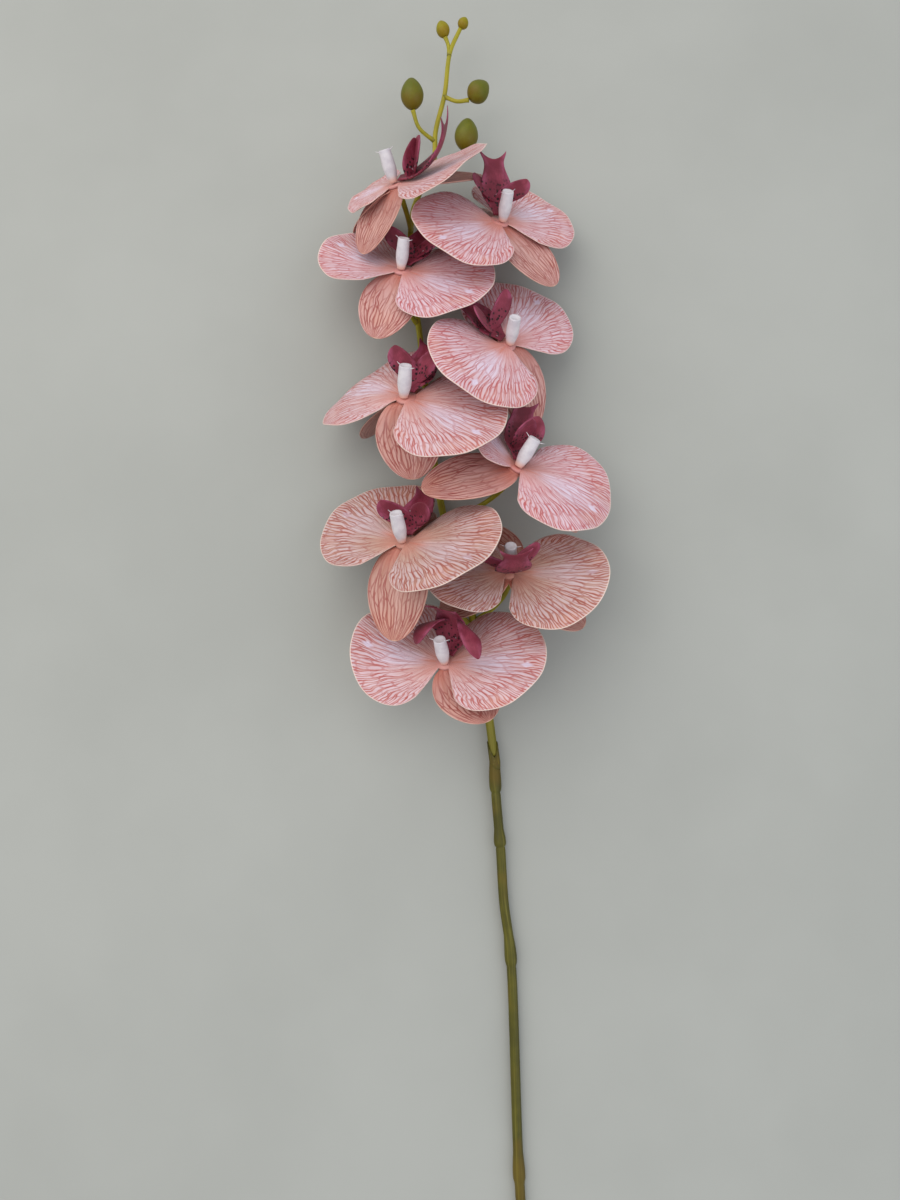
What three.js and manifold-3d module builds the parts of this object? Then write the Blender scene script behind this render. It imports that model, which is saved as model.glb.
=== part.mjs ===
// Orchid stem laid down: a jointed green stem, a flower spike with nine open blooms and five buds.
// Millimetres, +Z up from the surface, +Y from the cut end to the tip, +X to the right seen from above.

import * as THREE from 'three';
import { mergeVertices } from 'three/addons/utils/BufferGeometryUtils.js';
import Module from 'manifold-3d';

const wasm = await Module();
wasm.setup();

// Sheet sizes shared by every bloom
const SHEET = 0.8;
const PETAL_REACH = 45;
const PETAL_ROOT = 2;
const PETAL_NECK = 3;
const PETAL_LEAN = -10;
const PETAL_HALF_FAN = 80;
const PETAL_SPREAD = 88;
const PETAL_ROUNDNESS = 0.38;
const PETAL_CUP = 1.2;
const PETAL_RIPPLE = 0.7;
const SEPAL_LENGTH = 43.5;
const SEPAL_HALF_WIDTH = 15;
const SEPAL_NECK = 3;
const SEPAL_TROUGH = 1.4;

// The stack at the heart of a bloom, from the back to the front
const HUB_RADIUS = 4.6;
const SEPAL_ROOT = 3.6;
const HUB_THICKNESS = 1.2;
const HUB_GAP = 0.3;
const PETAL_HUB_Z = 0;
const SEPAL_HUB_Z = PETAL_HUB_Z - HUB_THICKNESS - HUB_GAP;
const FRONT_Z = PETAL_HUB_Z + HUB_THICKNESS / 2 + HUB_GAP;
const BACK_Z = SEPAL_HUB_Z - HUB_THICKNESS / 2 - HUB_GAP;
const LIP_Z = FRONT_Z + 1.2;

// Lip and column
const LIP_LENGTH = 32;
const LIP_ROOT_Y = -2.6;
const LIP_ROOT_HALF = 3;
const LIP_THROAT = 5.4;
const LIP_WAIST = 3;
const LIP_FLARE = 2;
const WING_LENGTH = 17;
const WING_HALF_WIDTH = 6.2;
const WING_FACE = 65;
const WING_ROOT = 0.2;
const COLUMN_LENGTH = 14.8;
const COLUMN_RADIUS = 3.1;
const COLUMN_Y = 1.6;
const SPIKE_LENGTH = 3.2;

// Green parts
const PEDICEL_RADIUS = 1.3;
const BUD_STALK_RADIUS = 1.05;
const SPIKE_BASE_RADIUS = 2.4;
const SPIKE_TIP_RADIUS = 1.1;
const STEM_RADIUS = 2.5;
const STEM_SWELL = 0.7;

// How the whole thing leans onto its three low points, and where its origin lies
const LAY_PITCH = -0.013;
const LAY_ROLL = 0.03;

const rad = THREE.MathUtils.degToRad;

// Each bloom: centre, turn as yaw, tilt and roll in degrees, size, petals as fold, curl, twist, reach and turn,
// sepals as turn, lift, curl and reach, lip as bend of start, turn and length, sway, and side lobes of rise,
// spread, curl and reach, column lean, and how far along the spike its stalk leaves, as a Y value.
const BLOOMS = [
  {
    at: [-28, 217, 5], face: [-28, 39, 180], size: 1.09,
    plus: [0, -20, -3, 0.58], minus: [-6, 20, 4],
    sepals: [[-29, -28, -4, 0.84], [-109, -28, -4], [127, -20, 0]],
    lip: { bend: [-15, 72, 1.32], sway: -84, plus: [60, 26, 0], minus: [72, -36, 0] }, lean: 14, from: 212,
  },
  {
    at: [26, 199, 0], face: [15, 33, 214], size: 1.05,
    plus: [0, -5, -3], minus: [-2, -2, -4],
    sepals: [[2, -14, 1], [-155, -32, 0, 0.88], [132, -20, 0]],
    lip: { bend: [31, 16], sway: -24, plus: [35, 34, 10], minus: [88, 42, 0] }, lean: 6, from: 176,
  },
  {
    at: [-24.5, 172.5, 0], face: [0, 38, 147], size: 1.05,
    plus: [-4, 18, 3], minus: [-3, 4, -8],
    sepals: [[14, -22, -4, 0.95], [-132, -16, 0], [132, -33, 0]],
    lip: { bend: [8, 18], sway: 5, plus: [88, 40, 0], minus: [48, 38, 10] }, lean: 14, from: 158,
  },
  {
    at: [29, 132, 1], face: [16, 30, 236], size: 1.06,
    plus: [6, -12, -8], minus: [9, -9, -2],
    sepals: [[-26, -38, -5, 0.98], [-166, -30, 0, 0.8], [120, -18, 0]],
    lip: { bend: [10, 8], sway: -5, plus: [44, 22, 10], minus: [68, 42, 0, 1.15] }, lean: 8, from: 112,
  },
  {
    at: [-22, 101, 9], face: [-3, 39, 144], size: 1.13,
    plus: [1, -46, -10], minus: [-4, -4, -3],
    sepals: [[43, -46, 4, 0.84], [-98, -52, 0], [132, -28, 0]],
    lip: { bend: [8, 16], sway: 15, plus: [74, 30, 0], minus: [60, 24, 10] }, lean: 12, from: 88,
  },
  {
    at: [34, 66, 7], face: [33, 40, 133], size: 1.1,
    plus: [15, 10, 0, 0.6], minus: [18, -34, -14],
    sepals: [[-44, -24, -6, 1.05], [-150, -22, 0], [110, -22, 0]],
    lip: { bend: [20, 30], sway: 34, plus: [90, 4, 10], minus: [62, 10, 10] }, lean: 14, from: 48,
  },
  {
    at: [-22, 28, 9], face: [-20, 42, 152], size: 1.11,
    plus: [5, -1, -4], minus: [9, -9, -2],
    sepals: [[21, -36, -9, 1.02], [-132, -16, 0], [150, -16, 0]],
    lip: { bend: [2, 8], sway: 20, plus: [90, 36, 0], minus: [80, 36, 40] }, lean: 8, from: -12,
  },
  {
    at: [30, 14, 1], face: [-2, 40, -8], size: 1.06,
    plus: [3, 9, 6], minus: [6, 2, 0, 0.9],
    sepals: [[32, -4, 8], [109, -30, 0, 0.9], [-106, -28, 0]],
    lip: { bend: [40, 42], sway: 14, plus: [108, 38, 20], minus: [100, 52, 20] }, lean: 4, from: -8,
  },
  {
    at: [-2, -31, 2], face: [-13, 40, 173], size: 1.07,
    plus: [-5, 40, -8], minus: [8, -10, -2],
    sepals: [[46, -14, 8, 0.84], [-132, -18, 0], [132, -18, 0]],
    lip: { bend: [30, 110], sway: -12, plus: [34, 20, 140, 1.8], minus: [34, 34, 130, 2.1] }, lean: 4, from: -46,
  },
];

// Buds from the lowest to the tip: centre, size, direction of the tip, where the stalk leaves, way points
const BUDS = [
  { at: [9, 258, -16], length: 18, width: 13.2, tip: [0.1, 1, 0.1], from: 240, by: [[2, 243, -21]] },
  { at: [-20.7, 279, -12], length: 17.5, width: 12.8, tip: [-0.05, 1, 0.1], from: 257, by: [[-17, 262, -16]] },
  { at: [15.6, 280.5, -12], length: 13.5, width: 12.2, tip: [0.7, 0.6, 0.1], from: 281, by: [[4, 276, -14]] },
  { at: [-4, 317, -12], length: 10, width: 7.5, tip: [-0.3, 1, 0], from: 302, by: [[-1, 308, -12.5]] },
  { at: [7.3, 320.6, -12], length: 7, width: 6, tip: [0.5, 1, 0], from: null, by: [] },
];

// The line of the flower spike and of the stem below it
const SPIKE_LINE = [
  [23.2, -79, -33], [20.8, -60, -34], [15, -20, -35], [6, 20, -35], [-4, 52, -35], [-11, 100, -35],
  [-16.5, 149, -35], [-22, 196, -34], [-20.5, 222, -30], [-9, 247, -23], [-8, 262, -20],
  [-3, 282, -17], [0, 304, -13], [5.6, 317.2, -12],
];
const STEM_LINE = [
  [46, -462, -35], [41, -380, -35], [35, -290, -35], [31.3, -180, -34.6], [28, -154, -34.3],
  [26.4, -128, -34], [24, -98, -33.5], [23.3, -79.5, -33],
];
// Where a sheath starts along the stem, as a Y value, and how long it is
const SHEATHS = [[-98, 18.5], [-126, 9], [-186, 15], [-292, 15], [-384, 15]];

const vectors = (list) => list.map((p) => new THREE.Vector3(...p));

// Solid from a merged, position-only geometry
function solidOf(geometry) {
  geometry.deleteAttribute('normal');
  geometry.deleteAttribute('uv');
  const merged = mergeVertices(geometry, 1e-4);
  const vertProperties = new Float32Array(merged.attributes.position.array);
  const triVerts = new Uint32Array(merged.index.array);
  return new wasm.Manifold(new wasm.Mesh({ numProp: 3, vertProperties, triVerts }));
}

// Geometry from a joined solid
function geometryOf(solid) {
  const mesh = solid.getMesh();
  const geometry = new THREE.BufferGeometry();
  geometry.setAttribute('position', new THREE.BufferAttribute(new Float32Array(mesh.vertProperties), 3));
  geometry.setIndex(new THREE.BufferAttribute(new Uint32Array(mesh.triVerts), 1));
  return geometry;
}

// Joins a list of closed geometries into one
function joined(geometries) {
  const [first, ...rest] = geometries.map(solidOf);
  return geometryOf(rest.reduce((whole, next) => whole.add(next), first));
}

// Distance along a strip that leaves the ground at one angle and turns on: how far along, how far up
function bend(distance, start, turn, length) {
  const rate = rad(turn) / length;
  if (Math.abs(rate) < 1e-6) {
    return [distance * Math.cos(rad(start)), distance * Math.sin(rad(start))];
  }
  const end = rad(start) + rate * distance;
  return [(Math.sin(end) - Math.sin(rad(start))) / rate, (Math.cos(rad(start)) - Math.cos(end)) / rate];
}

// Closed sheet of even thickness round a middle surface, split into triangles alike on both faces
function sheet(surface, us, vs, thickness = SHEET) {
  const columns = vs.length;
  const count = us.length * columns;
  const step = 1e-3;
  const positions = [];
  for (const face of [1, -1]) {
    for (const u of us) {
      for (const v of vs) {
        const along = surface(u + step, v).sub(surface(u - step, v));
        const across = surface(u, v + step).sub(surface(u, v - step));
        const normal = along.cross(across).normalize();
        const point = surface(u, v).addScaledVector(normal, face * thickness / 2);
        positions.push(point.x, point.y, point.z);
      }
    }
  }
  const index = [];
  for (let i = 0; i + 1 < us.length; i += 1) {
    for (let j = 0; j + 1 < columns; j += 1) {
      const a = i * columns + j;
      const b = a + columns;
      index.push(a, b, b + 1, a, b + 1, a + 1);
      index.push(count + a, count + b + 1, count + b, count + a, count + a + 1, count + b + 1);
    }
  }
  const wall = (a, b) => index.push(a, b, count + b, a, count + b, count + a);
  const last = (us.length - 1) * columns;
  for (let j = 0; j + 1 < columns; j += 1) {
    wall(j, j + 1);
    wall(last + j + 1, last + j);
  }
  for (let i = 0; i + 1 < us.length; i += 1) {
    wall((i + 1) * columns, i * columns);
    wall(i * columns + columns - 1, (i + 1) * columns + columns - 1);
  }
  const geometry = new THREE.BufferGeometry();
  geometry.setAttribute('position', new THREE.Float32BufferAttribute(positions, 3));
  geometry.setIndex(index);
  return geometry;
}

const spaced = (from, to, steps) => Array.from({ length: steps + 1 }, (_, i) => from + (to - from) * i / steps);

// One wide fan-shaped petal, on the plus or the minus side of the bloom
function petal(side, [fold, curl, twist, reach = 1, turn = 0]) {
  const surface = (u, v) => {
    const angle = PETAL_LEAN + PETAL_HALF_FAN * v;
    const fan = Math.cos(rad(90 * (angle - PETAL_LEAN) / PETAL_SPREAD)) ** PETAL_ROUNDNESS;
    const far = u * reach * PETAL_REACH * fan;
    const out = far * Math.cos(rad(angle));
    const up = far * Math.sin(rad(angle)) + (1 - u) * PETAL_NECK * v;
    const [x, rise] = bend(out, fold, curl, PETAL_REACH);
    const turned = rad(twist) * THREE.MathUtils.smoothstep(u, 0, 0.5);
    const ripple = PETAL_RIPPLE * u * u * Math.sin(7 * v + side);
    const z = rise + up * Math.sin(turned) - PETAL_CUP * (up / 30) ** 2 + ripple + 0.15;
    const point = new THREE.Vector3(x + PETAL_ROOT, up * Math.cos(turned), z);
    point.applyAxisAngle(new THREE.Vector3(0, 0, 1), rad(-turn));
    point.x *= side;
    return point;
  };
  return sheet(surface, [0, 0.3, 0.62, 1], spaced(-1, 1, 10));
}

// One oval sepal, turned about the heart of the bloom
function sepal([turn, lift, curl, reach = 1]) {
  const spin = new THREE.Matrix4().makeRotationZ(rad(turn));
  const surface = (u, v) => {
    const along = Math.min(1, Math.max(0, u));
    const oval = SEPAL_HALF_WIDTH * Math.max(0, Math.sin(Math.PI * along ** 0.95)) ** 0.5;
    const half = Math.max(oval, SEPAL_NECK * (1 - 3 * u), 0.9);
    const flat = Math.min(u * reach * SEPAL_LENGTH, SEPAL_ROOT);
    const [y, z] = bend(u * reach * SEPAL_LENGTH - flat, lift, curl, SEPAL_LENGTH);
    const trough = SEPAL_TROUGH * v * v * Math.sin(Math.PI * along);
    return new THREE.Vector3(v * half, flat + y, z + trough + SEPAL_HUB_Z - 0.18).applyMatrix4(spin);
  };
  return sheet(surface, [0.03, 0.1, 0.28, 0.52, 0.76, 0.92, 0.985], [-1, -0.4, 0.4, 1]);
}

// Round hub that the sheets of a bloom grow from
function hub(z) {
  const geometry = new THREE.CylinderGeometry(HUB_RADIUS, HUB_RADIUS, HUB_THICKNESS, 8);
  return geometry.rotateX(Math.PI / 2).translate(0, 0, z);
}

function petalPair(bloom) {
  return joined([hub(PETAL_HUB_Z), petal(1, bloom.plus), petal(-1, bloom.minus)]);
}

function sepalTrio(bloom) {
  return joined([hub(SEPAL_HUB_Z), ...bloom.sepals.map(sepal)]);
}

// Middle lobe of the lip: a narrow neck, a wide throat, a waist and two horns
function middleLobe([start, turn, length = 1]) {
  const surface = (u, v) => {
    const throat = LIP_THROAT * THREE.MathUtils.smoothstep(u, 0, 0.3);
    const waist = LIP_WAIST * THREE.MathUtils.smoothstep(u, 0.38, 0.76);
    const flare = LIP_FLARE * THREE.MathUtils.smoothstep(u, 0.78, 1);
    const reach = u * length * LIP_LENGTH * (1 - 0.13 * u * u * (1 - v * v));
    const [out, rise] = bend(reach, start, turn, LIP_LENGTH);
    const cup = 1.8 * v * v * Math.sin(Math.PI * Math.min(1, Math.max(0, u)));
    const half = LIP_ROOT_HALF + throat - waist + flare;
    return new THREE.Vector3(v * half, LIP_ROOT_Y - out, LIP_Z + rise + cup);
  };
  return sheet(surface, [0, 0.14, 0.3, 0.44, 0.62, 0.8, 1], [-1, 0, 1], 0.9);
}

// Side lobe of the lip: it rises beside the column and widens to a rounded paddle
function wing(side, [rise, spread, curl, reach = 1], [start, turn]) {
  const [rootOut, rootRise] = bend(WING_ROOT * LIP_LENGTH, start, turn, LIP_LENGTH);
  const surface = (u, v) => {
    const along = Math.min(1, Math.max(0, u));
    const oval = WING_HALF_WIDTH * Math.max(0, Math.sin(Math.PI * (0.08 + 0.92 * along ** 1.1))) ** 0.6;
    const half = Math.max(oval, 0.7);
    const far = u * reach * WING_LENGTH;
    const [out, up] = bend(far * Math.cos(rad(spread)), rise, curl, WING_LENGTH);
    const now = rad(rise + curl * u * reach * Math.cos(rad(spread)));
    const x = side * (1.2 + far * Math.sin(rad(spread)) + v * half * Math.sin(rad(WING_FACE)));
    const shift = v * half * Math.cos(rad(WING_FACE));
    const y = LIP_ROOT_Y - rootOut - out + shift * Math.sin(now);
    return new THREE.Vector3(x, y, LIP_Z + rootRise + up + shift * Math.cos(now));
  };
  return sheet(surface, [0, 0.2, 0.4, 0.6, 0.8, 0.97], [-1, 0, 1], 0.9);
}

function lip({ bend: line, sway, plus, minus }) {
  const root = new THREE.BoxGeometry(3.6, 2.4, 1.4).translate(0, LIP_ROOT_Y - 1.2, LIP_Z);
  const whole = joined([root, middleLobe(line), wing(1, plus, line), wing(-1, minus, line)]);
  return whole.rotateZ(rad(sway));
}

// Blunt column with two short spikes at its cut tip
function column(bloom) {
  const r = COLUMN_RADIUS;
  const h = COLUMN_LENGTH;
  const outline = [[0, 0], [0.6, 0], [0.78, 0.16], [1, 0.4], [0.98, 0.66], [0.9, 1], [0, 1]];
  const body = new THREE.LatheGeometry(outline.map(([x, y]) => new THREE.Vector2(x * r, y * h)), 9);
  const spikes = [1, -1].map((side) => {
    const cone = new THREE.ConeGeometry(0.5, SPIKE_LENGTH + 1.5, 4);
    cone.rotateZ(side * -1.15).translate(side * 0.95 * r, h - 1.1, 0);
    return cone;
  });
  const whole = joined([body, ...spikes]);
  return whole.rotateX(Math.PI / 2 + rad(bloom.lean)).translate(0, COLUMN_Y, FRONT_Z + 0.4);
}

// Round stalk along a curve, its thickness given by a formula
function stalk(curve, radius, sides, steps) {
  const geometry = new THREE.CylinderGeometry(1, 1, 1, sides, steps);
  const position = geometry.attributes.position;
  for (let i = 0; i < position.count; i += 1) {
    const t = THREE.MathUtils.clamp(position.getY(i) + 0.5, 0, 1);
    const r = radius(t);
    const tangent = curve.getTangent(t);
    const across = tangent.clone().cross(new THREE.Vector3(0.25, 0.1, 1)).normalize();
    const over = across.clone().cross(tangent);
    const point = curve.getPoint(t);
    point.addScaledVector(across, position.getX(i) * r).addScaledVector(over, position.getZ(i) * r);
    position.setXYZ(i, point.x, point.y, point.z);
  }
  return geometry;
}

// Point of the spike's line at a given Y
const spikeCurve = new THREE.CatmullRomCurve3(vectors(SPIKE_LINE));
function spikeAt(y) {
  let low = 0;
  let high = 1;
  for (let i = 0; i < 24; i += 1) {
    const t = (low + high) / 2;
    if (spikeCurve.getPoint(t).y < y) low = t;
    else high = t;
  }
  return spikeCurve.getPoint(low);
}

// Flower stalk from the spike to the back of a bloom's hub
function pedicel(bloom) {
  const placed = bloomPlace(bloom);
  const end = new THREE.Vector3(0, 0, BACK_Z).applyMatrix4(placed);
  const before = new THREE.Vector3(0, 0, BACK_Z - 14).applyMatrix4(placed);
  const start = spikeAt(bloom.from);
  const after = start.clone().lerp(before, 0.6);
  after.z = start.z + 1;
  const curve = new THREE.CubicBezierCurve3(start, after, before, end);
  return stalk(curve, (t) => PEDICEL_RADIUS * (1 + 0.35 * t ** 6), 6, 5);
}

function bloomPlace(bloom) {
  const [yaw, tilt, roll] = bloom.face;
  const turned = new THREE.Euler(rad(-tilt), rad(yaw), rad(roll), 'YXZ');
  return new THREE.Matrix4().compose(
    new THREE.Vector3(...bloom.at),
    new THREE.Quaternion().setFromEuler(turned),
    new THREE.Vector3(bloom.size, bloom.size, bloom.size),
  );
}

// Bud stalk that ends just short of its bud
function budStalk(bud) {
  const tip = new THREE.Vector3(...bud.tip).normalize();
  const end = new THREE.Vector3(...bud.at).addScaledVector(tip, -bud.length / 2 - 0.5);
  const curve = new THREE.CatmullRomCurve3([spikeAt(bud.from), ...vectors(bud.by), end]);
  return stalk(curve, () => BUD_STALK_RADIUS, 6, 5);
}

// Flower spike with every stalk it carries
function flowerSpike() {
  const radius = (t) => SPIKE_BASE_RADIUS + (SPIKE_TIP_RADIUS - SPIKE_BASE_RADIUS) * t ** 0.8;
  const main = stalk(spikeCurve, radius, 8, 30);
  const stalks = BUDS.filter((bud) => bud.from !== null).map(budStalk);
  return joined([main, ...BLOOMS.map(pedicel), ...stalks]);
}

// Stem whose sheaths bulge just above their joints, the last one around the foot of the spike
function stem() {
  const line = new THREE.CatmullRomCurve3(vectors(STEM_LINE));
  const radius = (t) => {
    const { y } = line.getPoint(t);
    const bulges = SHEATHS.map(([joint, length]) => {
      const share = THREE.MathUtils.clamp((y - joint) / length, 0, 1);
      return Math.sin(Math.PI * share ** 0.55);
    });
    return STEM_RADIUS + STEM_SWELL * Math.max(0, ...bulges);
  };
  return stalk(line, radius, 8, 40);
}

// Egg-shaped bud with a blunt tip
function bud({ length, width }) {
  const outline = spaced(0, 1, 6).map((t) => {
    const r = width / 2 * Math.sin(Math.PI * t ** 0.9) ** 0.75;
    return new THREE.Vector2(t === 0 || t === 1 ? 0 : r, length * (t - 0.5));
  });
  return new THREE.LatheGeometry(outline, 9);
}

const COLOURS = {
  sepal: { color: 0xcd8773, roughness: 0.55 },
  petal: { color: 0xe8beb9, roughness: 0.5 },
  lip: { color: 0x6e2d41, roughness: 0.5 },
  column: { color: 0xe6e2e4, roughness: 0.45 },
  green: { color: 0xaba432, roughness: 0.5 },
  stem: { color: 0x6e692d, roughness: 0.5 },
  bud: { color: 0x787323, roughness: 0.5 },
};

function named(name, geometry, look) {
  const mesh = new THREE.Mesh(geometry, new THREE.MeshStandardMaterial({ ...COLOURS[look], metalness: 0 }));
  mesh.name = name;
  return mesh;
}

const laid = new THREE.Group();
laid.rotation.set(rad(LAY_PITCH), rad(LAY_ROLL), 0);
laid.add(named('stem', stem(), 'stem'));
laid.add(named('flower_spike', flowerSpike(), 'green'));

BUDS.forEach((one, i) => {
  const mesh = named(`bud_${i + 1}`, bud(one), 'bud');
  mesh.position.set(...one.at);
  mesh.quaternion.setFromUnitVectors(new THREE.Vector3(0, 1, 0), new THREE.Vector3(...one.tip).normalize());
  laid.add(mesh);
});

BLOOMS.forEach((one, i) => {
  const group = new THREE.Group();
  bloomPlace(one).decompose(group.position, group.quaternion, group.scale);
  group.add(named(`bloom_${i + 1}_sepals`, sepalTrio(one), 'sepal'));
  group.add(named(`bloom_${i + 1}_petals`, petalPair(one), 'petal'));
  group.add(named(`bloom_${i + 1}_lip`, lip(one.lip), 'lip'));
  group.add(named(`bloom_${i + 1}_column`, column(one), 'column'));
  laid.add(group);
});

const orchid = new THREE.Group();
orchid.add(laid);
orchid.updateMatrixWorld(true);
const box = new THREE.Box3().setFromObject(orchid, true);
const middle = box.getCenter(new THREE.Vector3());
laid.position.set(-middle.x, -middle.y, -box.min.z);
orchid.updateMatrixWorld(true);

export default orchid;
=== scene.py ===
"""Dressed scene of an orchid stem that lies on a pale table.

Every sheet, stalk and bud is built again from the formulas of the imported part, finer and with its veins,
spots and colours. Sizes are in millimetres in the classes and become metres when a piece is made.
"""

import logging
from dataclasses import dataclass, replace
from enum import Enum
from functools import partial
from math import atan2, cos, exp, pi, radians, sin
from typing import Any, Callable, Sequence

import bmesh
import bpy
from mathutils import Matrix, Vector


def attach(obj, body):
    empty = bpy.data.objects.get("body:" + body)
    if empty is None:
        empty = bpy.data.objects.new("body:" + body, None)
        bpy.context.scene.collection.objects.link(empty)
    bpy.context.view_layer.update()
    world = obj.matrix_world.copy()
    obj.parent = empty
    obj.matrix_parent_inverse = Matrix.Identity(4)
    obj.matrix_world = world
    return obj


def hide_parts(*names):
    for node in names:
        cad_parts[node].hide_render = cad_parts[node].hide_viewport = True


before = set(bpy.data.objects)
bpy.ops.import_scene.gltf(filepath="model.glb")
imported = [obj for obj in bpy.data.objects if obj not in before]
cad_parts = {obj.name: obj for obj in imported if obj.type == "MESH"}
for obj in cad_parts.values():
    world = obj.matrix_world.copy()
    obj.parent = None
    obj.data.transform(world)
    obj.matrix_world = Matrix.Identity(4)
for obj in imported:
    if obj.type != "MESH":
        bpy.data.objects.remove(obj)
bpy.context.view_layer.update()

logging.basicConfig(level=logging.INFO, format="%(message)s")
report = logging.getLogger("orchid")

MILLIMETRE = 0.001
SHIFT = (-6.38, 69.21, 37.87)
LAY_PITCH = -0.013
LAY_ROLL = 0.03

HUB_THICKNESS = 1.2
HUB_GAP = 0.3
HUB_RADIUS = 4.6
SEPAL_HUB_Z = -HUB_THICKNESS - HUB_GAP
FRONT_Z = HUB_THICKNESS / 2 + HUB_GAP
BACK_Z = SEPAL_HUB_Z - HUB_THICKNESS / 2 - HUB_GAP
LIP_Z = FRONT_Z + 1.2

Vert = bmesh.types.BMVert
Face = bmesh.types.BMFace
Socket = bpy.types.NodeSocket
Material = bpy.types.Material
Triple = tuple[float, float, float]
Pose = Sequence[float]
Colour = tuple[int, int, int]
Line = Callable[[float], Vector]
Girth = Callable[[float, float], float]
Surface = Callable[[float, float], Vector]
Cells = tuple[int, int, float]


def linear(colour: Colour) -> tuple[float, ...]:
    """Linear colour, with full alpha, of a screen colour whose values go from 0 to 255."""
    return (*(((c / 255 + 0.055) / 1.055) ** 2.4 if c > 10 else c / 255 / 12.92 for c in colour), 1.0)


def smooth(value: float, low: float, high: float) -> float:
    """Smooth step of a value from 0 at low to 1 at high."""
    t = min(1.0, max(0.0, (value - low) / (high - low)))
    return t * t * (3 - 2 * t)


def bend(distance: float, start: float, turn: float, length: float) -> tuple[float, float]:
    """Where a strip gets to that leaves the ground at one angle and turns on.

    Args:
        distance: Distance along the strip.
        start: First angle in degrees.
        turn: Turn over the whole length in degrees.
        length: Length over which it turns.

    Returns:
        How far along and how far up the point lies.
    """
    first = radians(start)
    rate = radians(turn) / length
    if abs(rate) < 1e-6:
        return distance * cos(first), distance * sin(first)
    last = first + rate * distance
    return (sin(last) - sin(first)) / rate, (cos(first) - cos(last)) / rate


def laid() -> Matrix:
    """Matrix from the builder's millimetres to metres on the table."""
    lean = Matrix.Rotation(radians(LAY_PITCH), 4, "X") @ Matrix.Rotation(radians(LAY_ROLL), 4, "Y")
    return Matrix.Scale(MILLIMETRE, 4) @ Matrix.Translation(SHIFT) @ lean


def hang(name: str, data: bpy.types.ID) -> bpy.types.Object:
    """Puts a new object with some data in the scene.

    Args:
        name: Name of the object.
        data: Its mesh, light or lens.

    Returns:
        The object.
    """
    thing = bpy.data.objects.new(name, data)
    bpy.context.scene.collection.objects.link(thing)
    return thing


class Tone(Enum):
    """Which of the three prints the sheets of a bloom are cut from."""

    ROSE = "rose"
    BLUSH = "blush"
    APRICOT = "apricot"


class Signal:
    """A number on a shader socket that takes part in Python sums."""

    def __init__(self, tree: "Finish", socket: Socket) -> None:
        """Keeps the socket and the tree it belongs to."""
        self.tree = tree
        self.socket = socket

    def sum_up(self, operation: str, first: Any, second: Any) -> "Signal":
        """Result of one Math node on two signals or numbers."""
        node = self.tree.node("ShaderNodeMath", {"operation": operation}, {0: first, 1: second})
        return Signal(self.tree, node.outputs[0])

    def __add__(self, other: Any) -> "Signal":
        """Sum, whichever comes first."""
        return self.sum_up("ADD", self, other)

    __radd__ = __add__

    def __sub__(self, other: Any) -> "Signal":
        """Difference."""
        return self.sum_up("SUBTRACT", self, other)

    def __rsub__(self, other: Any) -> "Signal":
        """Difference with the number first."""
        return self.sum_up("SUBTRACT", other, self)

    def __mul__(self, other: Any) -> "Signal":
        """Product, whichever comes first."""
        return self.sum_up("MULTIPLY", self, other)

    __rmul__ = __mul__

    def highest(self, other: Any) -> "Signal":
        """The larger of two values."""
        return self.sum_up("MAXIMUM", self, other)

    def size(self) -> "Signal":
        """The value without its sign."""
        return self.sum_up("ABSOLUTE", self, 0.0)

    def step(self, low: float, high: float) -> "Signal":
        """Smooth step from 0 at low to 1 at high.

        Args:
            low: Value that gives 0.
            high: Value that gives 1.

        Returns:
            The stepped signal.
        """
        settings = {"interpolation_type": "SMOOTHSTEP"}
        falling = high < low
        inputs = {0: self, 1: min(low, high), 2: max(low, high), 3: float(falling), 4: float(not falling)}
        return Signal(self.tree, self.tree.node("ShaderNodeMapRange", settings, inputs).outputs[0])


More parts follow.
